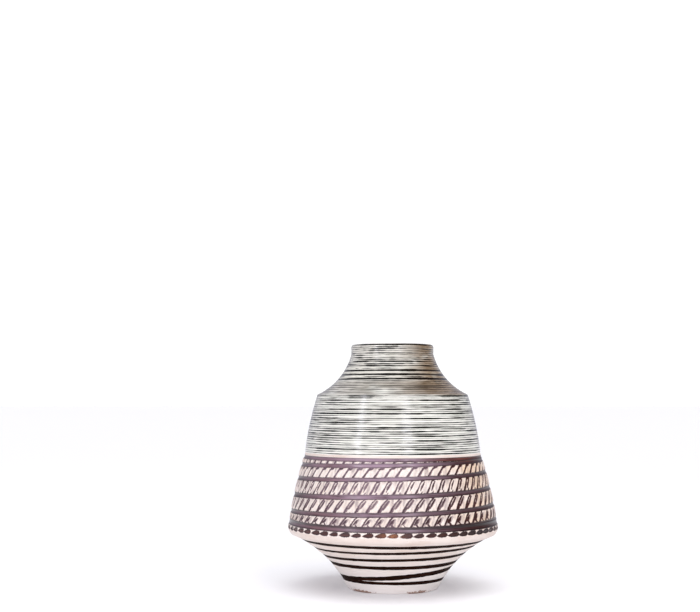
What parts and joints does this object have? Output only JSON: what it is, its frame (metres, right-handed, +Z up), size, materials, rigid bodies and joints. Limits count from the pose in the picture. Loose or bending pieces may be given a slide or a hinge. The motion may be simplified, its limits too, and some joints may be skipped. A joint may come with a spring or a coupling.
{
  "type": "pottery vase",
  "caption": "Hand-thrown stoneware vase with a narrow foot, a low sharp keel, a carved and banded belly, a glazed shoulder and a short neck.",
  "frame": {"origin": "centre of the foot's underside, on the surface that the vase stands on", "axes": "+Z up along the turning axis; the front is -Y"},
  "size_m": [0.2161, 0.2162, 0.25],
  "materials": {
    "clay": "satin, bare fired clay with turning marks",
    "luting_slip": "matte, hidden",
    "dark_slip": "gloss, dark purple-brown over pale carved facets",
    "line_slip": "semi-gloss, near black",
    "liner_glaze": "gloss",
    "streaked_glaze": "gloss, pale celadon with dark brushed strokes"
  },
  "bodies": {
    "root": {"base_section": "clay", "belly_section": "clay", "shoulder_section": "clay", "lower_luting_slip": "luting_slip", "upper_luting_slip": "luting_slip", "liner_glaze": "liner_glaze", "shoulder_glaze": "streaked_glaze", "slip_band_1": "dark_slip", "slip_band_2": "dark_slip", "slip_band_3": "dark_slip", "slip_band_4": "dark_slip", "slip_band_5": "dark_slip", "carved_row_1": "dark_slip", "carved_row_2": "dark_slip", "carved_row_3": "dark_slip", "carved_row_4": "dark_slip", "notch_row": "dark_slip", "slip_line_1": "line_slip", "slip_line_2": "line_slip", "slip_line_3": "line_slip", "slip_line_4": "line_slip", "slip_line_5": "line_slip", "slip_line_6": "line_slip"}
  },
  "joints": []
}
